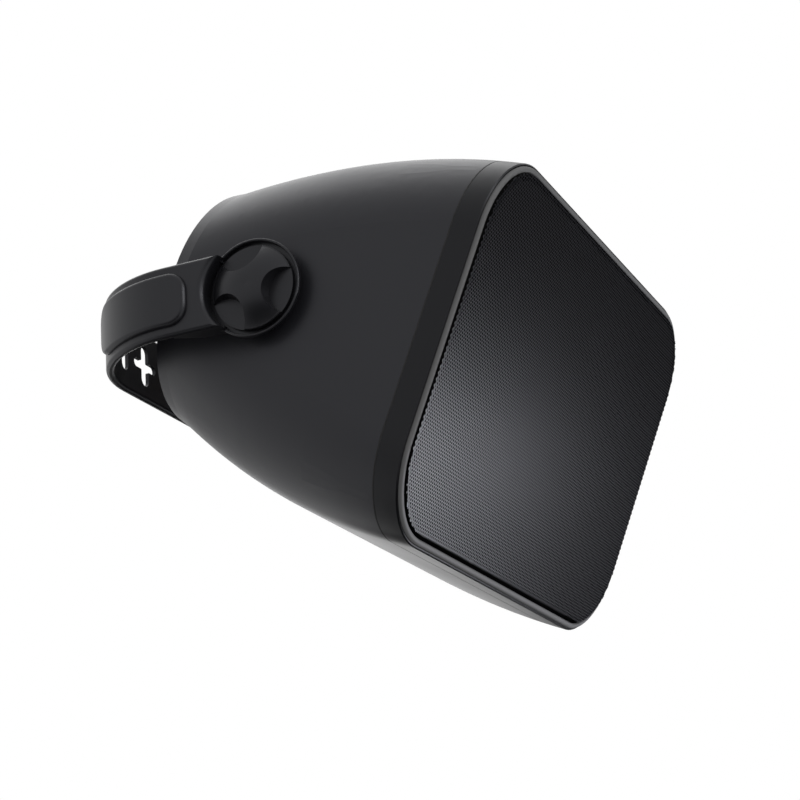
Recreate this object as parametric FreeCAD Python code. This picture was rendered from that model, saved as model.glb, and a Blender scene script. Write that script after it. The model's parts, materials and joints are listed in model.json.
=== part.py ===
import FreeCAD, Part
import math
import os

Vector = FreeCAD.Vector

# All sizes are millimetres and degrees.
# The cabinet is drawn with X along its length, Y from the front rim to the back and Z up.

# Cabinet form
cabinet_length = 245.0
cabinet_height = 156.0
front_corner = 35.0
rear_length = 214.0
rear_height = 105.8
rear_corner = 47.8
taper_depth = 129.5
belly = 7.2
rear_bevel_depth = 6.3
rear_bevel_inset = 2.2
seam_depth = 12.5
shell_wall = 3.5
column_radius = 4.5
column_length = 34.0

# Front frame with its baffle
rim_wall = 3.6
lip_width = 2.5
lip_round = 1.2
lip_ease = 0.5
band_setback = 1.4
band_bevel = 0.5
crease_width = 0.25
crease_depth = 0.6
baffle_depth = 8.0
baffle_thickness = 7.0
flange_rebate = 3.0
gasket_thickness = 0.7
gasket_setback = 0.9

# Grille of perforated sheet with a folded edge
grille_gap = 0.9
grille_proud = 1.6
grille_sheet = 0.8
grille_edge = 1.3
row_pitch = 1.24
row_opening = 0.62
row_margin = 1.0
cloth_thickness = 0.5

# Woofer
woofer_radius = 66.0
woofer_margin = 6.0
woofer_depth = 36.0
surround_radius = 57.5
cone_radius = 51.5
coil_radius = 12.9
coil_wall = 0.6
coil_gap = 0.4
coil_tail = 6.0
basket_wall = 2.4
basket_floor = 2.5
basket_windows = 6
window_width = 24.0
window_start = 33.0
window_margin = 6.0
magnet_radius = 41.0
magnet_thickness = 15.0
steel_thickness = 5.0
skin = 0.7

# Tweeter and bass port
tweeter_radius = 34.0
tweeter_rise = 16.0
tweeter_motor_radius = 27.0
tweeter_magnet_thickness = 9.0
tweeter_steel = 3.0
dome_radius = 12.6
dome_height = 4.6
driver_gap = 3.0
port_flange_radius = 18.0
port_bore = 13.5
port_wall = 2.0
port_length = 66.0
port_flange = 2.0

# Terminal cup and crossover
cup_length = 60.0
cup_height = 40.0
cup_flange = 2.0
cup_border = 4.5
cup_depth = 17.0
cup_wall = 2.0
post_spacing = 22.0
post_radius = 2.0
post_tail = 6.0
post_reach = 11.0
cap_radius = 5.5
cap_height = 10.0
cap_collar = 4.0
flute_radius = 1.0
flute_count = 8
board_length = 60.0
board_height = 44.0
board_thickness = 1.6
board_stand = 8.0
choke_radius = 12.0
choke_height = 14.0
capacitor_radius = 6.0
capacitor_length = 20.0
resistor_size = 5.0
resistor_length = 20.0
wadding_length = 56.0
wadding_height = 66.0
wadding_thickness = 18.0
wadding_corner = 12.0
component_gap = 6.0

# Pivot and yoke
pivot_depth = 88.0
rest_tilt = 24.0
wall_to_pivot = 83.3
pad_radius = 16.5
pad_height = 3.0
washer_thickness = 0.9
washer_gap = 0.1
insert_radius = 5.5
insert_length = 14.0
boss_wall = 3.0
stud_radius = 3.0
ring_radius = 20.4
ring_thickness = 4.0
ring_bead = 1.7
ring_undercut = 1.8
cup_recess = 2.4
knob_radius = 17.5
knob_gap = 1.8
knob_rise = 7.6
knob_skirt = 2.6
knob_lobes = 3
knob_base = 1.6
knob_round = 0.6
knob_fullness = 0.62
knob_flatness = 0.8
scallop_radius = 10.5
scallop_reach = 17.0
scallop_draft = 1.2
scallop_turn = 76.0
step_height = 5.4
arm_height = 30.0
arm_thickness = 3.6
bend_radius = 46.4
shoulder_length = 34.0
neck_round = 3.5
step_round = 2.6
panel_rise = 2.0
panel_round = 1.8
panel_border = 3.8
panel_start = 26.3
panel_length = 50.0
panel_corner = 8.0
wall_hollow = 2.0
wall_hollow_reach = 95.0
edge_round = 1.6
keyhole_x = 65.5
keyhole_span = 18.0
slot_width = 6.0
keyhole_level = 4.0
keyhole_centre = 7.6
wall_slot_x = 82.5
wall_slot_length = 13.0

# Fasteners and fits
screw_radius = 1.5
screw_head_radius = 2.4
screw_head = 1.8
screw_length = 18.0
small_screw_length = 9.0
fit = 0.1
slip = 0.3

# Places worked out from the sizes above
spigot_inset = shell_wall + slip
panel_back = baffle_depth + baffle_thickness
rear_face = taper_depth + rear_bevel_depth
seam_front = seam_depth - gasket_thickness / 2
seam_back = seam_depth + gasket_thickness / 2
woofer_x = cabinet_length / 2 - rim_wall - woofer_margin - woofer_radius
tweeter_x = woofer_x - woofer_radius - driver_gap - tweeter_radius
port_z = tweeter_rise - tweeter_radius - driver_gap - port_flange_radius
woofer_hole = surround_radius + 3 * basket_wall / 2
coil_inner = coil_radius - coil_wall / 2
coil_outer = coil_radius + coil_wall / 2
tweeter_hole = tweeter_motor_radius + 1.0
tweeter_seat = panel_back
board_x = -cup_length / 2 - board_length / 2 - component_gap
wadding_x = cup_length / 2 + wadding_length / 2 + component_gap


def span(depth):
    return depth / taper_depth


def bulge(depth):
    return 4 * span(depth) * (1 - span(depth))


def body_length(depth):
    return cabinet_length + (rear_length - cabinet_length) * span(depth)


def body_height(depth):
    return cabinet_height + (rear_height - cabinet_height) * span(depth) + 2 * belly * bulge(depth)


def body_corner(depth):
    return front_corner + (rear_corner - front_corner) * span(depth)


end_at_pivot = body_length(pivot_depth) / 2
pad_plane = end_at_pivot + pad_height
ring_back = pad_plane + washer_thickness + washer_gap
ring_front = ring_back + ring_thickness
cup_floor = ring_front - cup_recess
arm_outer = ring_front + step_height
stud_hole = stud_radius + slip
cup_radius = knob_radius + knob_gap


def rounded(length, height, radius, depth):
    # Closed wire of a rectangle with round corners, square to Y
    half = length / 2
    rise = height / 2
    flat_x = half - radius
    flat_z = rise - radius
    edges = []
    corners = ((1, 1), (-1, 1), (-1, -1), (1, -1))
    reach = radius * math.sqrt(0.5)
    for turn, (sx, sz) in enumerate(corners):
        along_x = Vector(sx * flat_x, depth, sz * rise)
        along_z = Vector(sx * half, depth, sz * flat_z)
        middle = Vector(sx * (flat_x + reach), depth, sz * (flat_z + reach))
        start, end = (along_z, along_x) if turn % 2 == 0 else (along_x, along_z)
        edges.append(Part.Arc(start, middle, end).toShape())
        next_x, next_z = corners[(turn + 1) % 4]
        if turn % 2 == 0:
            edges.append(Part.makeLine(end, Vector(next_x * flat_x, depth, next_z * rise)))
        else:
            edges.append(Part.makeLine(end, Vector(next_x * half, depth, next_z * flat_z)))
    return Part.Wire(edges)


def section(depth, inset):
    length = body_length(depth) - 2 * inset
    height = body_height(depth) - 2 * inset
    return rounded(length, height, body_corner(depth) - inset, depth)


def body(start, end, inset, stations):
    step = (end - start) / (stations - 1)
    wires = [section(start + step * station, inset) for station in range(stations)]
    return Part.makeLoft(wires, True, False)


def plate(length, height, radius, start, end):
    wire = rounded(length, height, radius, start)
    return Part.Face(wire).extrude(Vector(0, end - start, 0))


def rod(radius, start, end, x=0.0, z=0.0):
    # Cylinder along the depth
    return Part.makeCylinder(radius, end - start, Vector(x, start, z), Vector(0, 1, 0))


def axle(radius, start, end):
    # Cylinder along the pivot axis
    return Part.makeCylinder(radius, end - start, Vector(start, pivot_depth, 0), Vector(1, 0, 0))


def turned(points, x=0.0, z=0.0):
    # Solid of revolution about the depth, from radius and depth pairs.
    # A nested pair is the middle and the end of an arc.
    edges = []
    here = Vector(points[0][0], points[0][1], 0)
    for point in points[1:] + [points[0]]:
        if isinstance(point[0], tuple):
            middle = Vector(point[0][0], point[0][1], 0)
            there = Vector(point[1][0], point[1][1], 0)
            edges.append(Part.Arc(here, middle, there).toShape())
        else:
            there = Vector(point[0], point[1], 0)
            edges.append(Part.makeLine(here, there))
        here = there
    face = Part.Face(Part.Wire(edges))
    solid = face.revolve(Vector(0, 0, 0), Vector(0, 1, 0), 360)
    solid.translate(Vector(x, 0, z))
    return solid


def screw(x, z, start, length):
    head = rod(screw_head_radius, start, start + screw_head, x, z)
    return head.fuse(rod(screw_radius, start + screw_head, start + length, x, z))


def around(count, radius, x, z, turn=0.0):
    places = []
    for index in range(count):
        angle = math.radians(turn + 360.0 / count * index)
        places.append((x + radius * math.cos(angle), z + radius * math.sin(angle)))
    return places


def frame_screw_places():
    # Four corners and the pinch between the drivers, clear of the rim
    inset = rim_wall + screw_head_radius + 2 * slip
    corner = body_corner(seam_depth)
    reach = (corner - inset) * math.sqrt(0.5)
    x = body_length(seam_depth) / 2 - corner + reach
    z = body_height(seam_depth) / 2 - corner + reach
    places = [(sx * x, sz * z) for sx in (-1, 1) for sz in (-1, 1)]
    pinch = woofer_x - woofer_radius
    height = cabinet_height / 2 - inset
    return places + [(pinch, height), (pinch, -height)]


woofer_screw_places = around(4, (surround_radius + 2 + woofer_radius) / 2, woofer_x, 0, 45)
tweeter_screw_places = around(3, (tweeter_hole + tweeter_radius) / 2, tweeter_x, tweeter_rise, 90)
cup_screw_places = [
    (sx * (cup_length - cup_border) / 2, sz * (cup_height - cup_border) / 2)
    for sx in (-1, 1)
    for sz in (-1, 1)
]
board_screw_places = [
    (board_x + sx * (board_length / 2 - 5), sz * (board_height / 2 - 5))
    for sx in (-1, 1)
    for sz in (-1, 1)
]


def outer_body(start):
    rear_outline = rounded(
        rear_length - 2 * rear_bevel_inset,
        rear_height - 2 * rear_bevel_inset,
        rear_corner - rear_bevel_inset,
        rear_face,
    )
    bevel = Part.makeLoft([section(taper_depth, 0), rear_outline], True, True)
    return body(start, taper_depth, 0, 7).fuse(bevel)


def screw_column(x, z):
    # Post for a frame screw with a web to the nearest wall
    post = rod(column_radius, panel_back, panel_back + column_length, x, z)
    web = Part.makeBox(
        3 * column_radius, column_length, shell_wall,
        Vector(0, panel_back, -shell_wall / 2),
    )
    pinch = abs(x - (woofer_x - woofer_radius)) < slip
    lean = 0.0 if pinch else math.copysign(1, x)
    angle = math.degrees(math.atan2(math.copysign(1, z), lean))
    web.rotate(Vector(0, 0, 0), Vector(0, 1, 0), -angle)
    web.translate(Vector(x, 0, z))
    return post.fuse(web)


def rear_shell():
    outside = outer_body(seam_back)
    shell = outside.cut(body(seam_front, taper_depth, shell_wall, 7))
    extras = [screw_column(x, z).common(outside) for x, z in frame_screw_places()]
    boss_end = pad_plane - insert_length - boss_wall
    for side in (-1, 1):
        pad = sorted((side * (end_at_pivot - shell_wall), side * pad_plane))
        boss = sorted((side * boss_end, side * (end_at_pivot - shell_wall / 2)))
        extras.append(axle(pad_radius, *pad))
        extras.append(axle(insert_radius + boss_wall, *boss))
    for x, z in board_screw_places:
        extras.append(rod(3.5, taper_depth - board_stand, taper_depth + slip, x, z))
    shell = shell.fuse(extras)
    cuts = [rod(screw_radius + fit, panel_back, panel_back + screw_length, x, z)
            for x, z in frame_screw_places()]
    for side in (-1, 1):
        ends = sorted((side * (pad_plane - insert_length), side * (pad_plane + 1)))
        cuts.append(axle(insert_radius + fit, *ends))
    cuts.append(plate(cup_length + 2 * slip, cup_height + 2 * slip, cup_border + slip,
                      rear_face - cup_flange, rear_face + 1))
    cuts.append(plate(cup_length - 2 * cup_border + 2 * slip, cup_height - 2 * cup_border + 2 * slip,
                      cup_border, taper_depth - 1, rear_face))
    cuts += [rod(screw_radius + fit, rear_face - small_screw_length, rear_face, x, z)
             for x, z in cup_screw_places]
    board_back = taper_depth - board_stand
    cuts += [rod(screw_radius + fit, board_back - 1, board_back + small_screw_length, x, z)
             for x, z in board_screw_places]
    return shell.cut(cuts)


def rim_wire(inset, depth):
    return rounded(cabinet_length - 2 * inset, cabinet_height - 2 * inset, front_corner - inset, depth)


def rim_plate(inset, start, end):
    return plate(cabinet_length - 2 * inset, cabinet_height - 2 * inset, front_corner - inset, start, end)


def folded(block, radius):
    # Block with its front edge rounded
    front = block.BoundBox.YMin
    edges = [edge for edge in block.Edges if edge.BoundBox.YMax < front + fit]
    return block.makeFillet(radius, edges)


def front_frame():
    lip_outer = rim_wall - lip_width
    shoulder = band_setback + band_bevel
    bevel = Part.makeLoft([section(band_setback, band_bevel), section(shoulder, 0)], True, True)
    band = bevel.fuse(body(shoulder, seam_front, 0, 4))
    crease = rim_plate(lip_outer - crease_width, 0, band_setback + crease_depth)
    lip = folded(rim_plate(lip_outer, 0, baffle_depth), lip_round)
    spigot = plate(
        body_length(panel_back) - 2 * spigot_inset,
        body_height(panel_back) - 2 * spigot_inset,
        body_corner(panel_back) - spigot_inset,
        seam_front - 1, panel_back,
    )
    frame = band.cut(crease).fuse([lip, spigot])
    ease = Part.makeLoft([rim_wire(rim_wall - lip_ease, 0), rim_wire(rim_wall, lip_ease)], True, True)
    cuts = [rim_plate(rim_wall, -1, baffle_depth), ease]
    rebate = baffle_depth + flange_rebate
    cuts.append(rod(woofer_radius + slip, baffle_depth - 1, rebate, woofer_x))
    cuts.append(rod(woofer_hole, rebate - 1, panel_back + 1, woofer_x))
    cuts.append(rod(tweeter_radius + slip, baffle_depth - 1, rebate, tweeter_x, tweeter_rise))
    cuts.append(rod(tweeter_hole, rebate - 1, panel_back + 1, tweeter_x, tweeter_rise))
    port_outer = port_bore + port_wall
    cuts.append(rod(port_flange_radius + slip, baffle_depth - 1, baffle_depth + port_flange,
                    tweeter_x, port_z))
    cuts.append(rod(port_outer + fit, baffle_depth, panel_back + 1, tweeter_x, port_z))
    for x, z in frame_screw_places():
        cuts.append(rod(screw_head_radius + slip, baffle_depth - 1, baffle_depth + screw_head, x, z))
        cuts.append(rod(screw_radius + slip, baffle_depth, panel_back + 1, x, z))
    for x, z in woofer_screw_places + tweeter_screw_places:
        cuts.append(rod(screw_radius + fit, rebate - 1, panel_back + 1, x, z))
    return frame.cut(cuts)


def seam_gasket():
    length = body_length(seam_depth)
    height = body_height(seam_depth)
    corner = body_corner(seam_depth)
    outside = plate(length - 2 * gasket_setback, height - 2 * gasket_setback,
                    corner - gasket_setback, seam_front, seam_back)
    inset = shell_wall - fit
    return outside.cut(plate(length - 2 * inset, height - 2 * inset, corner - inset,
                             seam_front - 1, seam_back + 1))


def grille_outline(inset, start, end):
    return rim_plate(rim_wall + grille_gap + inset, start, end)


def grille():
    outside = folded(grille_outline(0, -grille_proud, baffle_depth), grille_edge)
    back_of_sheet = grille_sheet - grille_proud
    hollow = folded(grille_outline(grille_sheet, back_of_sheet, baffle_depth + 1),
                    grille_edge - grille_sheet)
    setback = rim_wall + grille_gap + row_margin + grille_edge
    half = cabinet_length / 2 - setback
    rise = cabinet_height / 2 - setback
    corner = front_corner - setback
    rows = int(rise / row_pitch)
    openings = []
    for row in range(-rows, rows + 1):
        z = row * row_pitch
        over = max(0.0, abs(z) - (rise - corner))
        reach = half - corner + math.sqrt(corner ** 2 - over ** 2)
        openings.append(Part.makeBox(
            2 * reach, 2 * grille_sheet, row_opening,
            Vector(-reach, -grille_proud - grille_sheet / 2, z - row_opening / 2),
        ))
    return outside.cut(hollow).cut(Part.makeCompound(openings))


def grille_cloth():
    front = grille_sheet - grille_proud
    setback = grille_sheet + grille_edge
    return grille_outline(setback, front, front + cloth_thickness)


woofer_back = baffle_depth + flange_rebate
basket_seat = baffle_depth + woofer_depth


def woofer_basket():
    low = basket_seat + basket_floor
    foot = magnet_radius
    solid = turned([
        (surround_radius - 1, baffle_depth),
        (woofer_radius, baffle_depth),
        (woofer_radius, woofer_back),
        (surround_radius + basket_wall, woofer_back),
        (foot, basket_seat),
        (foot, low),
        (coil_outer + coil_gap + 1, low),
        (coil_outer + coil_gap + 1, basket_seat),
        (foot - basket_wall, basket_seat),
        (surround_radius - 1, woofer_back + basket_wall / 2),
    ], woofer_x)
    top = woofer_back + window_margin
    windows = []
    for index in range(basket_windows):
        window = Part.makeBox(woofer_radius, basket_seat - window_margin - top, window_width,
                              Vector(window_start, top, -window_width / 2))
        window.rotate(Vector(0, 0, 0), Vector(0, 1, 0), 360.0 / basket_windows * index)
        window.translate(Vector(woofer_x, 0, 0))
        windows.append(window)
    holes = [rod(screw_radius + slip, baffle_depth - 1, woofer_back + 1, x, z)
             for x, z in woofer_screw_places]
    return solid.cut(windows + holes)


plate_top = basket_seat + basket_floor
magnet_top = plate_top + steel_thickness
yoke_top = magnet_top + magnet_thickness


def woofer_top_plate():
    return turned([
        (coil_outer + coil_gap, plate_top),
        (magnet_radius - 3, plate_top),
        (magnet_radius - 3, magnet_top),
        (coil_outer + coil_gap, magnet_top),
    ], woofer_x)


def woofer_magnet():
    return turned([
        (coil_outer + 5, magnet_top),
        (magnet_radius, magnet_top),
        (magnet_radius, yoke_top),
        (coil_outer + 5, yoke_top),
    ], woofer_x)


def woofer_yoke():
    pole = coil_inner - coil_gap
    return turned([
        (0, plate_top),
        (pole, plate_top),
        (pole, yoke_top),
        (magnet_radius - 3, yoke_top),
        (magnet_radius - 3, yoke_top + steel_thickness),
        (0, yoke_top + steel_thickness),
    ], woofer_x)


neck = basket_seat - 4.5
rim_depth = baffle_depth


def woofer_coil():
    return turned([
        (coil_inner, neck - 1),
        (coil_outer, neck - 1),
        (coil_outer, magnet_top + coil_tail),
        (coil_inner, magnet_top + coil_tail),
    ], woofer_x)


def woofer_cone():
    flat = cone_radius - 2
    return turned([
        (coil_outer, neck + skin),
        (coil_outer, neck - skin),
        (flat, rim_depth),
        (cone_radius, rim_depth),
        (cone_radius, rim_depth + skin),
        (flat + skin / 2, rim_depth + skin),
    ], woofer_x)


def cone_front(radius):
    slope = (rim_depth - neck + skin) / (cone_radius - 2 - coil_outer)
    return neck - skin + slope * (radius - coil_outer)


def dome(radius, base, height, thickness):
    # Half section of a thin spherical cap, crown first
    ball = (radius ** 2 + height ** 2) / (2 * height)
    centre = base - height + ball
    spread = math.asin(radius / ball)
    inner = ball - thickness
    return [
        (0, centre - ball),
        ((ball * math.sin(spread / 2), centre - ball * math.cos(spread / 2)),
         (radius, base)),
        (inner * math.sin(spread), centre - inner * math.cos(spread)),
        ((inner * math.sin(spread / 2), centre - inner * math.cos(spread / 2)),
         (0, centre - inner)),
    ]


def woofer_dust_cap():
    edge = coil_outer + 4
    return turned(dome(edge, cone_front(edge) - fit, 5.5, skin / 2), woofer_x)


def woofer_surround():
    # Half roll between the cone's flat rim and the basket's flange
    front = baffle_depth - skin
    middle = (cone_radius + surround_radius) / 2
    roll = (surround_radius - cone_radius) / 2
    outer = roll + skin / 2
    inner = roll - skin / 2
    return turned([
        (cone_radius - 1.6, baffle_depth),
        (cone_radius - 1.6, front),
        (middle - outer, front),
        ((middle, front - outer), (middle + outer, front)),
        (surround_radius + 2, front),
        (surround_radius + 2, baffle_depth),
        (middle + inner, baffle_depth),
        (middle + inner, front),
        ((middle, front - inner), (middle - inner, front)),
        (middle - inner, baffle_depth),
    ], woofer_x)


def woofer_spider():
    # Corrugated disc from the coil to the basket's floor
    inner = coil_outer + fit
    outer = magnet_radius - basket_wall - 1
    waves = 4
    start = inner + 2
    finish = outer - 3
    step = (finish - start) / (2 * waves)
    upper = [(inner, basket_seat - skin), (start, basket_seat - skin)]
    for index in range(1, 2 * waves):
        rise = skin * 2 if index % 2 else skin
        upper.append((start + step * index, basket_seat - rise))
    upper += [(finish, basket_seat - skin), (outer, basket_seat - skin)]
    lower = [(radius, depth + skin) for radius, depth in reversed(upper)]
    return turned(upper + lower, woofer_x)


def woofer_gasket():
    back = baffle_depth - skin
    return turned([
        (surround_radius + skin, back - 1.2),
        (surround_radius + 2, back - 1.2),
        (surround_radius + 2, back),
        (surround_radius + skin, back),
    ], woofer_x)


def tweeter_plate():
    mouth = tweeter_radius * 0.78
    throat = dome_radius + 0.8
    back = baffle_depth + flange_rebate
    solid = turned([
        (tweeter_radius, baffle_depth),
        (tweeter_radius, back),
        (throat + 5, back),
        (throat + 5, tweeter_seat),
        (throat, tweeter_seat),
        (throat, back + 1.5),
        (((mouth + throat) / 2 - 1.5, baffle_depth + 1.2), (mouth, baffle_depth)),
    ], tweeter_x, tweeter_rise)
    holes = [rod(screw_radius + slip, baffle_depth - 1, back + 1, x, z)
             for x, z in tweeter_screw_places]
    return solid.cut(holes)


def tweeter_dome():
    collar = turned([
        (dome_radius - 1, tweeter_seat - 1.6),
        (dome_radius, tweeter_seat - 1.6),
        (dome_radius, tweeter_seat),
        (dome_radius - 1, tweeter_seat),
    ], tweeter_x, tweeter_rise)
    cap = turned(dome(dome_radius, tweeter_seat - 1.6, dome_height, skin), tweeter_x, tweeter_rise)
    return collar.fuse(cap)


def tweeter_ring(inner, outer, start, thickness):
    return turned([
        (inner, start), (outer, start), (outer, start + thickness), (inner, start + thickness),
    ], tweeter_x, tweeter_rise)


tweeter_magnet_top = tweeter_seat + tweeter_steel
tweeter_yoke_top = tweeter_magnet_top + tweeter_magnet_thickness


def tweeter_top_plate():
    return tweeter_ring(dome_radius - 1.2, tweeter_motor_radius, tweeter_seat, tweeter_steel)


def tweeter_magnet():
    return tweeter_ring(dome_radius + 1, tweeter_motor_radius, tweeter_magnet_top,
                        tweeter_magnet_thickness)


def tweeter_yoke():
    pole = dome_radius - 2.4
    back = tweeter_yoke_top + tweeter_steel
    return turned([
        (0, tweeter_seat),
        (pole, tweeter_seat),
        (pole, tweeter_yoke_top),
        (tweeter_motor_radius - 1, tweeter_yoke_top),
        (tweeter_motor_radius - 1, back),
        (0, back),
    ], tweeter_x, tweeter_rise)


def bass_port():
    outer = port_bore + port_wall
    front = baffle_depth
    shoulder = front + port_flange
    return turned([
        (port_flange_radius, front),
        (port_flange_radius, shoulder),
        (outer, shoulder),
        (outer, front + port_length),
        (port_bore, front + port_length),
        (port_bore, front + 6),
        ((port_bore + 1, front + 2.2), (port_flange_radius - 1.2, front)),
    ], tweeter_x, port_z)


def terminal_cup():
    inner_length = cup_length - 2 * cup_border
    inner_height = cup_height - 2 * cup_border
    flange = plate(cup_length, cup_height, cup_border, rear_face - cup_flange, rear_face)
    tub = plate(inner_length, inner_height, cup_border, rear_face - cup_depth, rear_face - cup_flange)
    hollow = plate(inner_length - 2 * cup_wall, inner_height - 2 * cup_wall, cup_border - cup_wall,
                   rear_face - cup_depth + cup_wall, rear_face + 1)
    holes = [rod(screw_radius + slip, rear_face - cup_flange - 1, rear_face + 1, x, z)
             for x, z in cup_screw_places]
    holes += [rod(post_radius + fit, rear_face - cup_depth - 1, rear_face, x, 0)
              for x in (-post_spacing / 2, post_spacing / 2)]
    return flange.fuse(tub).cut([hollow] + holes)


def terminal_posts():
    floor = rear_face - cup_depth
    return Part.makeCompound([
        rod(post_radius, floor - post_tail, floor + post_reach, side * post_spacing / 2)
        for side in (-1, 1)
    ])


def terminal_cap(side):
    floor = rear_face - cup_depth + cup_wall
    middle = side * post_spacing / 2
    cap = rod(cap_radius, floor, floor + cap_height, middle)
    cap = cap.cut(rod(post_radius + fit, floor - 1, floor + cap_height + 1, middle))
    flutes = [rod(flute_radius, floor + cap_collar, floor + cap_height + 1, x, z)
              for x, z in around(flute_count, cap_radius + flute_radius / 2, middle, 0)]
    return cap.cut(flutes)


def rear_screw(x, z):
    head = rod(screw_head_radius - 0.4, rear_face, rear_face + screw_head / 2, x, z)
    return head.fuse(rod(screw_radius, rear_face - small_screw_length + 1, rear_face, x, z))


board_front = taper_depth - board_stand - board_thickness


def crossover_board():
    board = Part.makeBox(board_length, board_thickness, board_height,
                         Vector(board_x - board_length / 2, board_front, -board_height / 2))
    return board.cut([rod(screw_radius + slip, board_front - 1, board_front + board_thickness + 1, x, z)
                      for x, z in board_screw_places])


def crossover_chokes():
    chokes = []
    for side in (-1, 1):
        x = board_x + side * (choke_radius + 2)
        drum = rod(choke_radius, board_front - choke_height, board_front, x, -4)
        waist = rod(choke_radius + 1, board_front - choke_height + 2, board_front - 2, x, -4)
        waist = waist.cut(rod(choke_radius - 2.5, board_front - choke_height, board_front, x, -4))
        chokes.append(drum.cut(waist).cut(rod(3, board_front - choke_height - 1, board_front + 1, x, -4)))
    return Part.makeCompound(chokes)


def crossover_windings():
    coils = []
    for side in (-1, 1):
        x = board_x + side * (choke_radius + 2)
        start = board_front - choke_height + 2 + fit
        coil = rod(choke_radius - 0.5, start, board_front - 2 - fit, x, -4)
        coils.append(coil.cut(rod(choke_radius - 2.5 + fit, start - 1, board_front, x, -4)))
    return Part.makeCompound(coils)


def crossover_capacitors():
    z = board_height / 2 - capacitor_radius - 1.5
    y = board_front - capacitor_radius
    return Part.makeCompound([
        Part.makeCylinder(capacitor_radius, capacitor_length,
                          Vector(board_x + start, y, z), Vector(1, 0, 0))
        for start in (-capacitor_length - 0.6, 0.6)
    ])


def crossover_resistor():
    z = 0.5 - board_height / 2
    return Part.makeBox(resistor_length, resistor_size, resistor_size,
                        Vector(board_x - resistor_length / 2, board_front - resistor_size, z))


def wadding():
    block = plate(wadding_length, wadding_height, wadding_corner,
                  taper_depth - wadding_thickness, taper_depth)
    block.translate(Vector(wadding_x, 0, 0))
    return block


def pivot_insert(side):
    ends = sorted((side * (pad_plane - insert_length), side * pad_plane))
    bore = sorted((side * (pad_plane - insert_length - 1), side * (pad_plane + 1)))
    return axle(insert_radius, *ends).cut(axle(stud_radius + fit / 2, *bore))


def pivot_washer(side):
    ends = sorted((side * pad_plane, side * (pad_plane + washer_thickness)))
    return axle(pad_radius - 1, *ends).cut(axle(insert_radius + 1, *ends))


def knob(side):
    # Domed disc with finger scallops, its axis on the pivot
    base = cup_floor + slip / 2
    shoulder = base + knob_skirt
    crown = base + knob_rise
    bend = knob_radius * knob_fullness
    drop = (crown - shoulder) * (1 - knob_fullness) * knob_flatness
    edge = knob_radius - knob_round
    ease = knob_round * (1 - math.sqrt(0.5))
    profile = [
        Part.makeLine(Vector(base, 0, 0), Vector(base, knob_radius, 0)),
        Part.makeLine(Vector(base, knob_radius, 0), Vector(shoulder - knob_round, knob_radius, 0)),
        Part.Arc(Vector(shoulder - knob_round, knob_radius, 0),
                 Vector(shoulder - ease, knob_radius - ease, 0),
                 Vector(shoulder, edge, 0)).toShape(),
        Part.Arc(Vector(shoulder, edge, 0),
                 Vector(crown - drop, bend, 0),
                 Vector(crown, 0, 0)).toShape(),
        Part.makeLine(Vector(crown, 0, 0), Vector(base, 0, 0)),
    ]
    solid = Part.Face(Part.Wire(profile)).revolve(Vector(0, 0, 0), Vector(1, 0, 0), 360)
    scallops = []
    for lobe in range(knob_lobes):
        angle = math.radians(scallop_turn + 360.0 / knob_lobes * lobe)
        foot = Vector(base + knob_base,
                      scallop_reach * math.cos(angle),
                      scallop_reach * math.sin(angle))
        scallops.append(Part.makeCone(scallop_radius - scallop_draft, scallop_radius,
                                      knob_rise, foot, Vector(1, 0, 0)))
    solid = solid.cut(scallops)
    socket = Part.makeCylinder(stud_radius + fit / 2, knob_skirt + 1, Vector(base - 1, 0, 0), Vector(1, 0, 0))
    solid = solid.cut(socket)
    if side < 0:
        solid = solid.mirror(Vector(0, 0, 0), Vector(1, 0, 0))
    return solid


def knob_stud(side):
    start = pad_plane - insert_length + 2
    end = cup_floor + slip / 2 + knob_skirt
    ends = sorted((side * start, side * end))
    return Part.makeCylinder(stud_radius, ends[1] - ends[0], Vector(ends[0], 0, 0), Vector(1, 0, 0))


# The yoke is drawn with its pivot on the X axis and the wall at wall_to_pivot along Y.


def strap_face(outset):
    # Bent strap seen from above: thickness outwards from its inner face
    half = arm_outer - outset
    back = wall_to_pivot - outset
    bend = bend_radius - outset
    reach = bend * (1 - math.sqrt(0.5))
    turn_y = back - bend
    edges = [Part.makeLine(Vector(-half, 0, 0), Vector(-half, turn_y, 0))]
    edges.append(Part.Arc(Vector(-half, turn_y, 0),
                          Vector(-half + reach, back - reach, 0),
                          Vector(-half + bend, back, 0)).toShape())
    edges.append(Part.makeLine(Vector(-half + bend, back, 0), Vector(half - bend, back, 0)))
    edges.append(Part.Arc(Vector(half - bend, back, 0),
                          Vector(half - reach, back - reach, 0),
                          Vector(half, turn_y, 0)).toShape())
    edges.append(Part.makeLine(Vector(half, turn_y, 0), Vector(half, 0, 0)))
    edges.append(Part.makeLine(Vector(half, 0, 0), Vector(-half, 0, 0)))
    return Part.Face(Part.Wire(edges))


def strap(outer, inner, height):
    # Part of the strap between two depths below its outer face
    wide = strap_face(outer).cut(strap_face(inner))
    wide.translate(Vector(0, 0, -height / 2))
    return wide.extrude(Vector(0, 0, height))


def slot(x, length, width, upright):
    half = (length - width) / 2
    start = wall_to_pivot - 4 * arm_thickness
    depth = 5 * arm_thickness
    shift = Vector(0, 0, half) if upright else Vector(half, 0, 0)
    middle = Vector(x, start, 0)
    ends = [Part.makeCylinder(width / 2, depth, middle + shift * sign, Vector(0, 1, 0))
            for sign in (-1, 1)]
    size = (width, 2 * half) if upright else (2 * half, width)
    bar = Part.makeBox(size[0], depth, size[1], middle - Vector(size[0] / 2, 0, size[1] / 2))
    return bar.fuse(ends)


def disc(radius, side, start, end):
    # Cylinder on the pivot axis at one side of the yoke
    low, high = sorted((side * start, side * end))
    return Part.makeCylinder(radius, high - low, Vector(low, 0, 0), Vector(1, 0, 0))


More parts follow.
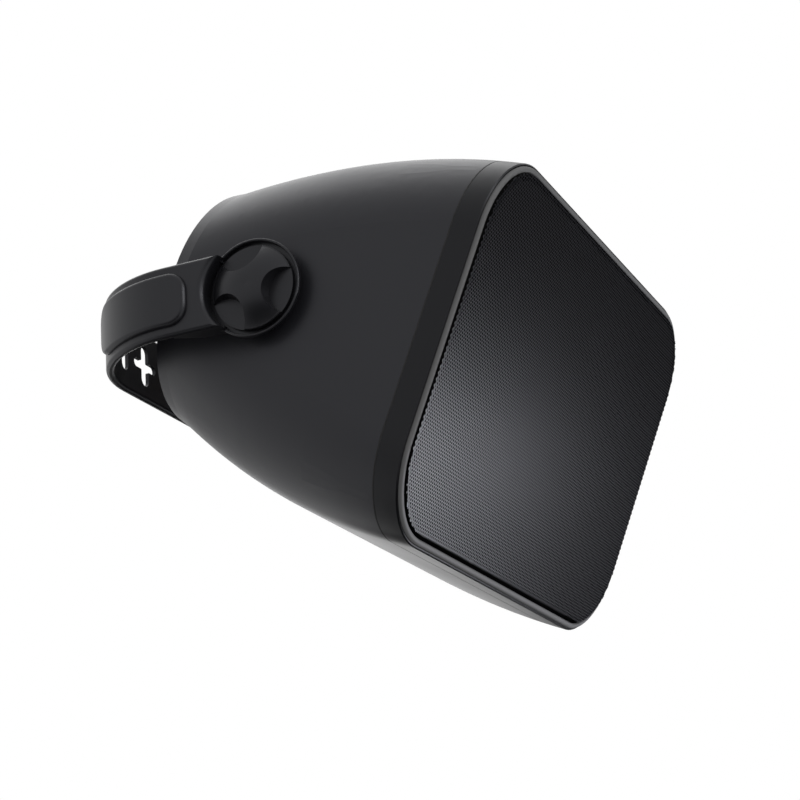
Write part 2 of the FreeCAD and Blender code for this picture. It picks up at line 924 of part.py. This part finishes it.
def revolved(edges, side):
    # Solid turned about the pivot axis at one side of the yoke
    solid = Part.Face(Part.Wire(edges)).revolve(Vector(0, 0, 0), Vector(1, 0, 0), 360)
    return solid if side > 0 else solid.mirror(Vector(0, 0, 0), Vector(1, 0, 0))


def ring(side):
    # Shallow cup for the knob: its rim is a round bead, undercut behind
    bead = (ring_radius - cup_radius) / 2
    points = [
        Vector(ring_back, 0, 0), Vector(ring_back, ring_radius - ring_undercut, 0),
        Vector(ring_front - ring_bead, ring_radius, 0), Vector(ring_front - bead, ring_radius, 0),
        Vector(ring_front - bead, cup_radius, 0), Vector(cup_floor, cup_radius, 0),
        Vector(cup_floor, 0, 0),
    ]
    edges = [Part.makeLine(points[index], points[(index + 1) % 7]) for index in (0, 1, 2, 4, 5, 6)]
    edges.insert(3, Part.Arc(points[3], Vector(ring_front, cup_radius + bead, 0), points[4]).toShape())
    return revolved(edges, side)


def step_cut(side):
    # Round space over the cup, flared where it meets the arm's outer face
    reach = arm_outer + 1
    flare = cup_radius + step_round
    inset = step_round * (1 - math.sqrt(0.5))
    points = [
        Vector(cup_floor, 0, 0), Vector(cup_floor, cup_radius, 0),
        Vector(arm_outer - step_round, cup_radius, 0), Vector(arm_outer, flare, 0),
        Vector(reach, flare, 0), Vector(reach, 0, 0),
    ]
    edges = [Part.makeLine(points[index], points[(index + 1) % 6]) for index in (0, 1, 3, 4, 5)]
    edges.insert(2, Part.Arc(points[2], Vector(arm_outer - inset, cup_radius + inset, 0),
                             points[3]).toShape())
    return revolved(edges, side)


def arm_panel(side):
    # Raised panel along an arm and into its bend, with a rounded edge
    field = plate(panel_length, arm_height - 2 * panel_border, panel_corner,
                  arm_outer / 2, arm_outer + 2 * panel_rise)
    field.rotate(Vector(0, 0, 0), Vector(0, 0, 1), 90)
    field.translate(Vector(0, panel_start + panel_length / 2, 0))
    panel = strap(-panel_rise, panel_rise, arm_height).common(field)
    outline = strap_face(-panel_rise).OuterWire
    outer = []
    for edge in panel.Edges:
        middle = edge.valueAt((edge.FirstParameter + edge.LastParameter) / 2)
        points = [middle] + [vertex.Point for vertex in edge.Vertexes]
        gaps = [outline.distToShape(Part.Vertex(point.x, point.y, 0))[0] for point in points]
        if max(gaps) < fit:
            outer.append(edge)
    panel = panel.makeFillet(panel_round, outer)
    return panel if side < 0 else panel.mirror(Vector(0, 0, 0), Vector(1, 0, 0))


def neck_web(side, sign):
    # Concave web between the ring and the arm's upper or lower edge
    half = arm_height / 2
    lift = half + neck_round
    away = ring_radius + neck_round
    centre = math.sqrt(away ** 2 - lift ** 2)
    lean = math.atan2(lift, centre)
    turn = (math.pi / 2 + lean) / 2
    low, high = sorted((side * ring_back, side * ring_front))

    def place(y, z):
        return Vector(low, y, sign * z)

    on_arm = place(centre, half)
    on_ring = place(ring_radius * math.cos(lean), ring_radius * math.sin(lean))
    middle = place(centre - neck_round * math.cos(turn), lift - neck_round * math.sin(turn))
    inside = place(ring_radius * math.cos(lean), half - edge_round)
    edges = [
        Part.Arc(on_arm, middle, on_ring).toShape(),
        Part.makeLine(on_ring, inside),
        Part.makeLine(inside, on_arm),
    ]
    return Part.Face(Part.Wire(edges)).extrude(Vector(high - low, 0, 0))


def arm_root(side):
    # Thick root of an arm, sloping out from the ring
    half = arm_height / 2
    return Part.Face(Part.makePolygon([
        Vector(side * ring_back, 0, -half),
        Vector(side * ring_back, ring_radius + neck_round, -half),
        Vector(side * (arm_outer - arm_thickness), shoulder_length, -half),
        Vector(side * (arm_outer - edge_round), shoulder_length, -half),
        Vector(side * (arm_outer - edge_round), 0, -half),
        Vector(side * ring_back, 0, -half),
    ])).extrude(Vector(0, 0, arm_height))


def yoke():
    solid = strap(0, arm_thickness, arm_height)
    edges = [edge for edge in solid.Edges
             if abs(edge.BoundBox.ZMin - edge.BoundBox.ZMax) < fit and edge.Length > bend_radius / 2]
    solid = solid.makeFillet(edge_round, edges)
    reach = Part.makeBox(2 * wall_hollow_reach, wall_to_pivot, arm_height,
                         Vector(-wall_hollow_reach, wall_to_pivot / 2, -arm_height / 2))
    solid = solid.cut(strap(-1, wall_hollow, arm_height - 2 * panel_border).common(reach))
    solid = solid.fuse([arm_root(-1), arm_root(1)])
    cuts = []
    extras = []
    for side in (-1, 1):
        cuts.append(step_cut(side))
        cuts.append(slot(side * keyhole_x, keyhole_span, slot_width, True))
        cuts.append(slot(side * keyhole_x, keyhole_span, keyhole_level, False))
        cuts.append(Part.makeCylinder(keyhole_centre / 2, 5 * arm_thickness,
                                      Vector(side * keyhole_x, wall_to_pivot - 4 * arm_thickness, 0),
                                      Vector(0, 1, 0)))
        cuts.append(slot(side * wall_slot_x, wall_slot_length, slot_width, True))
        extras += [ring(side), neck_web(side, 1), neck_web(side, -1), arm_panel(side)]
    solid = solid.cut(cuts).fuse(extras)
    bores = [disc(stud_hole, side, ring_back - 1, ring_front) for side in (-1, 1)]
    return solid.cut(bores).removeSplitter()


def in_yoke(shape):
    # From the yoke's own place to the origin at the middle of its wall face
    shape.translate(Vector(0, -wall_to_pivot, 0))
    return shape


def in_cabinet(shape):
    # Nose down about the pivot by the tilt at rest
    shape.translate(Vector(0, -pivot_depth, 0))
    shape.rotate(Vector(0, 0, 0), Vector(1, 0, 0), rest_tilt)
    return in_yoke(shape)


def main():
    front_screws = [screw(x, z, baffle_depth, screw_length) for x, z in frame_screw_places()]
    woofer_screws = [screw(x, z, baffle_depth - screw_head, small_screw_length)
                     for x, z in woofer_screw_places]
    tweeter_screws = [screw(x, z, baffle_depth - screw_head, small_screw_length)
                      for x, z in tweeter_screw_places]
    board_screws = [screw(x, z, board_front - screw_head, small_screw_length)
                    for x, z in board_screw_places]
    cup_screws = [rear_screw(x, z) for x, z in cup_screw_places]
    cabinet = {
        "rear_shell": rear_shell(),
        "front_frame": front_frame(),
        "seam_gasket": seam_gasket(),
        "grille": grille(),
        "grille_cloth": grille_cloth(),
        "frame_screws": Part.makeCompound(front_screws),
        "woofer_basket": woofer_basket(),
        "woofer_top_plate": woofer_top_plate(),
        "woofer_magnet": woofer_magnet(),
        "woofer_yoke": woofer_yoke(),
        "woofer_coil": woofer_coil(),
        "woofer_cone": woofer_cone(),
        "woofer_dust_cap": woofer_dust_cap(),
        "woofer_surround": woofer_surround(),
        "woofer_spider": woofer_spider(),
        "woofer_gasket": woofer_gasket(),
        "woofer_screws": Part.makeCompound(woofer_screws),
        "tweeter_plate": tweeter_plate(),
        "tweeter_dome": tweeter_dome(),
        "tweeter_top_plate": tweeter_top_plate(),
        "tweeter_magnet": tweeter_magnet(),
        "tweeter_yoke": tweeter_yoke(),
        "tweeter_screws": Part.makeCompound(tweeter_screws),
        "bass_port": bass_port(),
        "terminal_cup": terminal_cup(),
        "terminal_posts": terminal_posts(),
        "terminal_cap_left": terminal_cap(-1),
        "terminal_cap_right": terminal_cap(1),
        "terminal_screws": Part.makeCompound(cup_screws),
        "crossover_board": crossover_board(),
        "crossover_chokes": crossover_chokes(),
        "crossover_windings": crossover_windings(),
        "crossover_capacitors": crossover_capacitors(),
        "crossover_resistor": crossover_resistor(),
        "board_screws": Part.makeCompound(board_screws),
        "wadding": wadding(),
        "pivot_insert_left": pivot_insert(-1),
        "pivot_insert_right": pivot_insert(1),
        "pivot_washer_left": pivot_washer(-1),
        "pivot_washer_right": pivot_washer(1),
    }
    stand = {
        "yoke": yoke(),
        "knob_left": knob(-1),
        "knob_right": knob(1),
        "knob_stud_left": knob_stud(-1),
        "knob_stud_right": knob_stud(1),
    }
    os.makedirs("parts", exist_ok=True)
    for name, shape in cabinet.items():
        in_cabinet(shape).exportStep("parts/" + name + ".step")
    for name, shape in stand.items():
        in_yoke(shape).exportStep("parts/" + name + ".step")


main()
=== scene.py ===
import json
import math
import bmesh
import bpy
from mathutils import Matrix, Vector


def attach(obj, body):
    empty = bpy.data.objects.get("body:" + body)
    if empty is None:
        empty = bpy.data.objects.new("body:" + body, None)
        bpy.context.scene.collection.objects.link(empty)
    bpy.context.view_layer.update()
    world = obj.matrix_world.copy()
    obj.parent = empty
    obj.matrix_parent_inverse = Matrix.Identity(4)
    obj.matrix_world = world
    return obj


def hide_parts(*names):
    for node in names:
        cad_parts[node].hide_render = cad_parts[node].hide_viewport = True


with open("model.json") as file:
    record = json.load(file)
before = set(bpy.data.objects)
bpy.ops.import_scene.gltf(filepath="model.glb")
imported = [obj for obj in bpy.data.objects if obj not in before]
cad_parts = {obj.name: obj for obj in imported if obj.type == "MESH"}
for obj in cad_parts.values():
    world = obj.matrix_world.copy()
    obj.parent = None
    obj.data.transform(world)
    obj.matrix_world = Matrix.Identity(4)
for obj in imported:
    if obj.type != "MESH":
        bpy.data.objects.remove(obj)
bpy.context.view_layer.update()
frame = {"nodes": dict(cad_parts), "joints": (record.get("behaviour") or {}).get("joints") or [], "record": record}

nodes = frame["nodes"]
print("frame loaded:", len(nodes), "nodes")

millimetre = 0.001
tiltJoint = next(joint for joint in frame["joints"] if joint["name"] == "tilt")
pivot = Vector(tiltJoint["pos_m"])
stance = {"restTilt": 24.0, "pivotDepth": 88.0}  # degrees nose down, millimetres behind the rim

# Cabinet millimetres, depth running back from the rim, to metres in the row frame
cabinetPlace = (
    Matrix.Translation(pivot)
    @ Matrix.Rotation(math.radians(stance["restTilt"]), 4, "X")
    @ Matrix.Scale(millimetre, 4)
    @ Matrix.Translation((0, -stance["pivotDepth"], 0))
)


class Flow:
    # A node output that can stand in a sum
    def __init__(self, graph, socket):
        self.graph = graph
        self.socket = socket

    def math(self, operation, other, flip=False):
        pair = (other, self) if flip else (self, other)
        return self.graph.node("ShaderNodeMath", {"operation": operation}, {0: pair[0], 1: pair[1]})

    def __add__(self, other):
        return self.math("ADD", other)

    def __radd__(self, other):
        return self.math("ADD", other, True)

    def __sub__(self, other):
        return self.math("SUBTRACT", other)

    def __rsub__(self, other):
        return self.math("SUBTRACT", other, True)

    def __mul__(self, other):
        return self.math("MULTIPLY", other)

    def __rmul__(self, other):
        return self.math("MULTIPLY", other, True)


class Graph:
    # A node tree that grows one node at a time
    def __init__(self, tree):
        self.tree = tree

    def join(self, value, socket):
        if isinstance(value, Flow):
            self.tree.links.new(value.socket, socket)
        else:
            socket.default_value = value

    def node(self, kind, settings, inputs, output=0):
        made = self.tree.nodes.new(kind)
        for key, value in settings.items():
            setattr(made, key, value)
        for key, value in inputs.items():
            self.join(value, made.inputs[key])
        return Flow(self, made.outputs[output])

    def ray(self, kind):
        return self.node("ShaderNodeLightPath", {}, {}, kind)


mixSockets = {"low": 6, "high": 7, "result": 2}  # where a Mix node keeps its colours


class Finish(Graph):
    # One material with a principled shader
    def __init__(self, name, fixed):
        self.material = bpy.data.materials.new(name)
        self.material.use_nodes = True
        super().__init__(self.material.node_tree)
        self.shader = self.tree.nodes["Principled BSDF"]
        for socket, value in fixed.items():
            self.join(value, self.shader.inputs[socket])
        self.place = self.node("ShaderNodeTexCoord", {}, {}, "Object")

    def noise(self, scale, detail):
        return self.node("ShaderNodeTexNoise", {}, {
            "Vector": self.place, "Scale": scale, "Detail": detail}, "Fac")

    def mix(self, factor, low, high):
        ends = [end if isinstance(end, Flow) else (*end, 1) for end in (low, high)]
        return self.node("ShaderNodeMix", {"data_type": "RGBA"}, {
            "Factor": factor, mixSockets["low"]: ends[0], mixSockets["high"]: ends[1]}, mixSockets["result"])

    def cabinetDepth(self):
        # Metres behind the rim plane of the cabinet as it stands at rest
        turn = math.radians(stance["restTilt"])
        back = (0.0, math.cos(turn), math.sin(turn))
        along = self.node("ShaderNodeVectorMath", {"operation": "DOT_PRODUCT"},
                          {0: self.place, 1: back}, "Value")
        return along + (stance["pivotDepth"] * millimetre - pivot.dot(Vector(back)))

    def bump(self, height, strength, distance):
        return self.node("ShaderNodeBump", {}, {
            "Height": height, "Strength": strength, "Distance": distance})

    def feed(self, colour, roughness, normal):
        self.join(colour, self.shader.inputs["Base Color"])
        self.join(roughness, self.shader.inputs["Roughness"])
        self.join(normal, self.shader.inputs["Normal"])
        return self.material


coolLook = {"shine": (0.93, 0.94, 1.0, 1.0), "blue": 1.2}  # faint blue of the photo


def cool(tone):
    return (tone, tone, tone * coolLook["blue"])


def grey(tone):
    return (tone, tone, tone)


plasticLook = {
    "shell": {"dark": 0.0105, "pale": 0.0145, "rough": 0.40, "grain": 0.20, "gloss": 0.30},
    "frame": {"dark": 0.0032, "pale": 0.0048, "rough": 0.38, "grain": 0.16, "gloss": 0.20},
    "yoke": {"dark": 0.0060, "pale": 0.0090, "rough": 0.36, "grain": 0.16, "gloss": 0.32},
    "knob": {"dark": 0.0058, "pale": 0.0085, "rough": 0.36, "grain": 0.14, "gloss": 0.32},
}
mouldTexture = {
    "cloudScale": 14.0, "cloudDetail": 4.0, "cloudRough": 0.10,    # slow drift over the moulding
    "sparkScale": 2600.0, "sparkDetail": 2.0, "sparkRough": 0.06,  # spark-eroded tool surface
    "relief": 0.00006,
}
lipToneAndPaintedSheen = {"depth": 0.00135, "tone": 0.095, "rough": 0.55}  # rim in front of the band painted lighter grey: partly a paler trim, partly a painted highlight of its rounded bead


def mouldedPlastic(name, look, lip=None):
    finish = Finish(name, {"Specular IOR Level": look["gloss"], "Specular Tint": coolLook["shine"]})
    cloud = finish.noise(mouldTexture["cloudScale"], mouldTexture["cloudDetail"])
    spark = finish.noise(mouldTexture["sparkScale"], mouldTexture["sparkDetail"])
    tone = finish.mix(cloud, cool(look["dark"]), cool(look["pale"]))
    drift = mouldTexture["cloudRough"] * (cloud - 0.5)
    rough = look["rough"] + drift + mouldTexture["sparkRough"] * (spark - 0.5)
    if lip:
        # Lip in front of the depth mark painted lighter grey: partly its own paler tone, partly a painted
        # highlight
        raised = finish.cabinetDepth().math("LESS_THAN", lip["depth"])
        tone = finish.mix(raised, tone, grey(lip["tone"]))
        rough = rough + (lip["rough"] - look["rough"]) * raised
    return finish.feed(tone, rough, finish.bump(spark, look["grain"], mouldTexture["relief"]))


grilleLook = {
    "dark": 0.005, "pale": 0.009, "rough": 0.30, "gloss": 0.45,
    "cloudScale": 22.0, "cloudDetail": 3.0,
    "peelScale": 1400.0, "peelDetail": 2.0, "peelRough": 0.12,  # orange peel of the powder coat
    "grain": 0.15, "relief": 0.00008,
}


def coatedSteel(name, look):
    finish = Finish(name, {"Specular IOR Level": look["gloss"], "Specular Tint": coolLook["shine"]})
    cloud = finish.noise(look["cloudScale"], look["cloudDetail"])
    peel = finish.noise(look["peelScale"], look["peelDetail"])
    tone = finish.mix(cloud, cool(look["dark"]), cool(look["pale"]))
    rough = look["rough"] + look["peelRough"] * (peel - 0.5)
    return finish.feed(tone, rough, finish.bump(peel, look["grain"], look["relief"]))


plainTexture = {"detail": 3.0, "rough": 0.15, "grain": 0.2, "relief": 0.0001}


def plainFinish(name, colour, rough, metal=0.0, scale=400.0, gloss=0.5, spread=0.18):
    finish = Finish(name, {"Metallic": metal, "Specular IOR Level": gloss})
    grain = finish.noise(scale, plainTexture["detail"])
    low = tuple(channel * (1 - spread) for channel in colour)
    high = tuple(min(1.0, channel * (1 + spread)) for channel in colour)
    tone = finish.mix(grain, low, high)
    uneven = rough + plainTexture["rough"] * (grain - 0.5)
    return finish.feed(tone, uneven, finish.bump(grain, plainTexture["grain"], plainTexture["relief"]))


clothBlackAndPaintedShade = {"colour": grey(0.002), "gloss": 0.05}  # what lies in the dark behind the grille: black cloth, darkened and dulled further as painted shade in the holes, and the sheet's folded skirt, painted black as its shade
materials = {
    "shell_plastic": mouldedPlastic("shellPlastic", plasticLook["shell"]),
    "frame_plastic": mouldedPlastic("framePlastic", plasticLook["frame"], lipToneAndPaintedSheen),
    "yoke_plastic": mouldedPlastic("yokePlastic", plasticLook["yoke"]),
    "knob_plastic": mouldedPlastic("knobPlastic", plasticLook["knob"]),
    "grille_steel": coatedSteel("grilleSteel", grilleLook),
    # Black cloth, darker and duller than its own tone: painted shade in the grille holes
    "cloth": plainFinish("acousticCloth", rough=0.9, **clothBlackAndPaintedShade),
    "foam": plainFinish("sealFoam", grey(0.012), 0.85),
    "soft_rubber": plainFinish("softRubber", grey(0.02), 0.6),
    "cone_paper": plainFinish("conePaper", grey(0.03), 0.8),
    "spider_cloth": plainFinish("spiderCloth", (0.45, 0.32, 0.14), 0.85),
    "silk": plainFinish("domeSilk", (0.02, 0.02, 0.025), 0.55),
    "basket_steel": plainFinish("basketSteel", grey(0.02), 0.5),
    "motor_steel": plainFinish("motorSteel", (0.6, 0.6, 0.61), 0.35, metal=1.0),
    "ferrite": plainFinish("ferrite", (0.05, 0.05, 0.052), 0.55),
    "copper": plainFinish("copperWire", (0.75, 0.36, 0.2), 0.35, metal=1.0),
    "brass": plainFinish("turnedBrass", (0.75, 0.58, 0.28), 0.3, metal=1.0),
    "screw_steel": plainFinish("blackScrew", (0.05, 0.05, 0.052), 0.4, metal=0.6),
    "inner_plastic": plainFinish("innerPlastic", grey(0.014), 0.5),
    "board": plainFinish("boardLaminate", (0.05, 0.14, 0.06), 0.5),
    "component": plainFinish("filmCapacitor", (0.55, 0.4, 0.06), 0.4),
    "ceramic_block": plainFinish("cementBlock", (0.75, 0.72, 0.66), 0.8),
    "red_plastic": plainFinish("redPlastic", (0.4, 0.012, 0.012), 0.35),
    "black_plastic": plainFinish("blackPlastic", grey(0.01), 0.35),
    "wadding": plainFinish("whiteWadding", grey(0.7), 0.95),
}
for row in frame["record"]["subparts"]:
    data = nodes[row["node"]].data
    data.materials.clear()
    data.materials.append(materials[row["material_slot"]])
print("finishes made:", len(materials))


def addObject(name, bm, material):
    mesh = bpy.data.meshes.new(name)
    bm.to_mesh(mesh)
    bm.free()
    mesh.materials.append(material)
    made = bpy.data.objects.new(name, mesh)
    bpy.context.collection.objects.link(made)
    return made


def addPiece(name, bm, body, slotName, replaced):
    piece = addObject(name, bm, materials[slotName])
    piece.data.shade_smooth()
    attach(piece, body)
    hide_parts(replaced)
    return piece


def roundedLoop(bm, shape, inset, depth):
    # Wire loop of a rectangle with round corners, square to the depth
    halfX = shape["length"] / 2 - inset
    halfZ = shape["height"] / 2 - inset
    corners = [bm.verts.new((sx * halfX, depth, sz * halfZ))
               for sx, sz in ((-1, -1), (1, -1), (1, 1), (-1, 1))]
    panel = bm.faces.new(corners)
    before = set(bm.faces) - {panel}
    bmesh.ops.bevel(bm, geom=corners, offset=shape["corner"] - inset, offset_type="OFFSET",
                    segments=shape["segments"], profile=0.5, affect="VERTICES", material=-1)
    panel = next(face for face in bm.faces if face not in before)
    loop = list(panel.edges)
    bmesh.ops.delete(bm, geom=[panel], context="FACES_ONLY")
    return loop


grilleShape = {
    "length": 237.2, "height": 147.2, "corner": 30.5, "segments": 10,  # outside of the folded sheet
    "lift": 0.3, "proud": 0.86,  # place in the frame, in front of the rim
    "pitch": 1.65, "rowPitch": 1.24, "holeReach": 0.65,  # holes
    "spareCells": 2, "spare": 3.0, "overhang": 0.75,  # raw sheet and its cut edge, past the outline
    "rim": 0.05, "tuck": 0.02, "foot": 8.0, "skirtRough": 0.8,  # skirt, just inside the outline
}


def insideGrille(point, reach):
    corner = grilleShape["corner"] + reach
    overX = max(0.0, abs(point.x) - (grilleShape["length"] / 2 + reach - corner))
    overZ = max(0.0, abs(point.z) - (grilleShape["height"] / 2 + reach - corner))
    return math.hypot(overX, overZ) <= corner


def perforatedSheet():
    # Staggered rows of points, each one opened into a hole
    pitch, rowPitch = grilleShape["pitch"], grilleShape["rowPitch"]
    columns = int(grilleShape["length"] / pitch) + grilleShape["spareCells"]
    rows = int(grilleShape["height"] / rowPitch) + grilleShape["spareCells"]
    bm = bmesh.new()
    bmesh.ops.create_grid(bm, x_segments=columns, y_segments=rows, size=0.5)
    for vert in bm.verts:
        row = round((vert.co.y + 0.5) * rows)
        stagger = pitch / 4 if row % 2 else -pitch / 4
        vert.co = Vector((vert.co.x * columns * pitch + stagger,
                          -grilleShape["proud"], vert.co.y * rows * rowPitch))
    outside = [vert for vert in bm.verts if not insideGrille(vert.co, grilleShape["spare"])]
    bmesh.ops.delete(bm, geom=outside, context="VERTS")
    bmesh.ops.triangulate(bm, faces=bm.faces[:], quad_method="SHORT_EDGE")
    stray = [vert for vert in bm.verts if not vert.link_faces]
    bmesh.ops.delete(bm, geom=stray, context="VERTS")
    holes = [vert for vert in bm.verts if not vert.is_boundary]
    made = bmesh.ops.bevel(bm, geom=holes, offset=grilleShape["holeReach"], offset_type="OFFSET",
                           segments=1, profile=0.5, affect="VERTICES", material=-1)
    bmesh.ops.delete(bm, geom=made["faces"], context="FACES_ONLY")
    trimmed = [face for face in bm.faces
               if not all(insideGrille(vert.co, grilleShape["overhang"]) for vert in face.verts)]
    bmesh.ops.delete(bm, geom=trimmed, context="FACES")
    loose = [edge for edge in bm.edges if not edge.link_faces]
    bmesh.ops.delete(bm, geom=loose, context="EDGES")
    bmesh.ops.recalc_face_normals(bm, faces=bm.faces[:])
    if sum(face.normal.y for face in bm.faces) > 0:
        bmesh.ops.reverse_faces(bm, faces=bm.faces[:])
    print("grille holes:", len(holes))
    return bm


def foldedEdge(bm):
    # Skirt of the sheet, folded back at its cut edge
    depths = (grilleShape["tuck"] - grilleShape["proud"], grilleShape["foot"])
    near, far = [roundedLoop(bm, grilleShape, grilleShape["rim"], depth) for depth in depths]
    skirt = bmesh.ops.bridge_loops(bm, edges=near + far)["faces"]
    bmesh.ops.recalc_face_normals(bm, faces=skirt)
    # The skirt takes material 1, near black: painted shade in place of the coated steel
    for face in skirt:
        face.material_index = 1


def buildGrille():
    bm = perforatedSheet()
    foldedEdge(bm)
    bmesh.ops.translate(bm, vec=(0, 0, grilleShape["lift"]), verts=bm.verts[:])
    bmesh.ops.transform(bm, matrix=cabinetPlace, verts=bm.verts[:])
    piece = addPiece("perforatedGrille", bm, "cabinet", "grille_steel", "grille")
    # Second material: the steel skirt painted near black as the shade in the gap
    piece.data.materials.append(plainFinish("foldedSkirtPaintedShade", rough=grilleShape["skirtRough"], **clothBlackAndPaintedShade))
    return piece


grille = buildGrille()
print("grille made:", len(grille.data.polygons), "faces")

gasketShape = {
    "length": 242.0, "height": 156.17, "corner": 36.2, "segments": 16,  # outside of the cabinet at the seam
    "front": 12.16, "back": 12.84, "setback": 0.06, "width": 3.2,
}


def buildGasket():
    # Thin seal that fills the seam almost flush
    bm = bmesh.new()
    outer, inner = gasketShape["setback"], gasketShape["setback"] + gasketShape["width"]
    section = ((outer, "front"), (outer, "back"), (inner, "back"), (inner, "front"))
    loops = [roundedLoop(bm, gasketShape, inset, gasketShape[side]) for inset, side in section]
    for near, far in zip(loops, loops[1:] + loops[:1]):
        bmesh.ops.bridge_loops(bm, edges=near + far)
    bmesh.ops.recalc_face_normals(bm, faces=bm.faces[:])
    bmesh.ops.transform(bm, matrix=cabinetPlace, verts=bm.verts[:])
    return addPiece("seamSeal", bm, "cabinet", "foam", "seam_gasket")


gasket = buildGasket()
print("seam seal made:", len(gasket.data.polygons), "faces")

stageLook = {
    "floorHeight": -0.75, "floorSize": 6.0, "floorTone": 0.80, "floorRough": 0.8,
    "cloudScale": 30.0, "cloudSpread": 0.01, "worldFill": 0.5,
}


def buildFloor():
    bm = bmesh.new()
    bmesh.ops.create_grid(bm, x_segments=1, y_segments=1, size=stageLook["floorSize"] / 2)
    bmesh.ops.translate(bm, verts=bm.verts[:], vec=(0, 0, stageLook["floorHeight"]))
    material = plainFinish("paleFloor", grey(stageLook["floorTone"]), stageLook["floorRough"],
                           scale=stageLook["cloudScale"], spread=stageLook["cloudSpread"])
    addObject("floor", bm, material)
    # Reflections show the floor as white as the room
    graph = Graph(material.node_tree)
    matt = Flow(graph, graph.tree.nodes["Principled BSDF"].outputs["BSDF"])
    white = graph.node("ShaderNodeEmission", {}, {})
    pick = graph.node("ShaderNodeMixShader", {}, {0: graph.ray("Is Glossy Ray"), 1: matt, 2: white})
    graph.join(pick, graph.tree.nodes["Material Output"].inputs["Surface"])


def buildWorld():
    # White to the camera and to reflections, softer as a light
    world = bpy.data.worlds.new("studio")
    bpy.context.scene.world = world
    world.use_nodes = True
    room = Graph(world.node_tree)
    seen = room.ray("Is Camera Ray")
    for kind in ("Is Glossy Ray", "Is Transmission Ray"):
        seen = seen.math("MAXIMUM", room.ray(kind))
    level = room.node("ShaderNodeMix", {}, {"Factor": seen, "A": stageLook["worldFill"], "B": 1.0}, "Result")
    shine = room.tree.nodes["Background"]
    room.join((1, 1, 1, 1), shine.inputs["Color"])
    room.join(level, shine.inputs["Strength"])


def facing(spot):
    # Turn of a lamp or board from its place to its aim
    return (Vector(spot["aim"]) - Vector(spot["place"])).to_track_quat("-Z", "Y")


plainWhite = (1.0, 1.0, 1.0)
lamps = {
    "frontGlow": {"place": (0.354, -0.463, -0.238), "aim": (-0.09, -0.15, -0.07),
                  "size": (0.19, 0.32), "power": 1.57, "tint": (0.92, 0.93, 1.0)},
    "leftKey": {"place": (-0.35, -1.30, 0.55), "aim": (-0.10, -0.08, 0.0),
                "size": (2.0, 0.2), "power": 11.0, "tint": plainWhite},
    "topSoft": {"place": (0.354, 0.321, 1.0), "aim": (0.0, -0.10, 0.05),
                "size": (1.0, 1.0), "power": 3.8, "tint": plainWhite},
    "lowRim": {"place": (1.00, 0.50, 0.00), "aim": (0.0, -0.12, -0.05),
               "size": (0.4, 0.3), "power": 0.5, "tint": plainWhite},
}


def buildLamps():
    for name, lamp in lamps.items():
        data = bpy.data.lights.new(name, "AREA")
        data.shape = "RECTANGLE"
        data.size, data.size_y = lamp["size"]
        data.energy = lamp["power"]
        data.color = lamp["tint"]
        lampObject = bpy.data.objects.new(name, data)
        bpy.context.collection.objects.link(lampObject)
        lampObject.location = lamp["place"]
        lampObject.rotation_euler = facing(lamp).to_euler()
        lampObject.visible_camera = False


cardLook = {"dark": 0.006, "pale": 0.80, "rough": 0.9}
studioBoards = {
    "sideBoard": {"place": (0.95, -0.62, 0.12), "aim": (0.0, -0.165, -0.03),
                  "size": (1.6, 1.2), "card": "dark"},
    "rearBoard": {"place": (0.45, 0.85, -0.03), "aim": (0.0, -0.02, -0.05),
                  "size": (0.55, 0.35), "card": "pale"},
    "lowBoard": {"place": (0.97, 0.36, -0.50), "aim": (-0.10, -0.05, -0.03),
                 "size": (0.9, 0.65), "card": "dark"},
    "underBoard": {"place": (0.10, 0.0, -0.40), "aim": (0.10, 0.0, 0.0),
                   "size": (0.8, 0.8), "card": "dark"},
    "kneeBoard": {"place": (-0.90, -0.05, -0.50), "aim": (-0.13, -0.08, 0.0),
                  "size": (1.2, 0.9), "card": "dark"},
}


def buildBoards():
    # Studio boards that only reflections see, in place of the white room
    for name, board in studioBoards.items():
        bm = bmesh.new()
        bmesh.ops.create_grid(bm, x_segments=1, y_segments=1, size=0.5)
        bmesh.ops.scale(bm, vec=(*board["size"], 1), verts=bm.verts[:])
        turn = facing(board).to_matrix().to_4x4()
        bmesh.ops.transform(bm, matrix=Matrix.Translation(board["place"]) @ turn, verts=bm.verts[:])
        card = plainFinish(name + "Card", grey(cardLook[board["card"]]), cardLook["rough"])
        boardObject = addObject(name, bm, card)
        for ray in ("visible_camera", "visible_diffuse", "visible_shadow"):
            setattr(boardObject, ray, False)


shot = {
    "place": (-0.79435, -0.41724, -0.30915), "turn": (109.026, 3.824, -66.505),
    "lens": 93.178, "sensor": 36.0, "near": 0.01,
}


def buildCamera():
    data = bpy.data.cameras.new("shot")
    data.sensor_width = shot["sensor"]
    data.lens = shot["lens"]
    data.clip_start = shot["near"]
    camera = bpy.data.objects.new("shot", data)
    bpy.context.collection.objects.link(camera)
    camera.location = shot["place"]
    camera.rotation_euler = [math.radians(angle) for angle in shot["turn"]]
    bpy.context.scene.camera = camera


buildFloor()
buildWorld()
buildLamps()
buildBoards()
buildCamera()
bpy.context.scene.view_settings.view_transform = "Standard"
print("stage, lamps and camera placed")
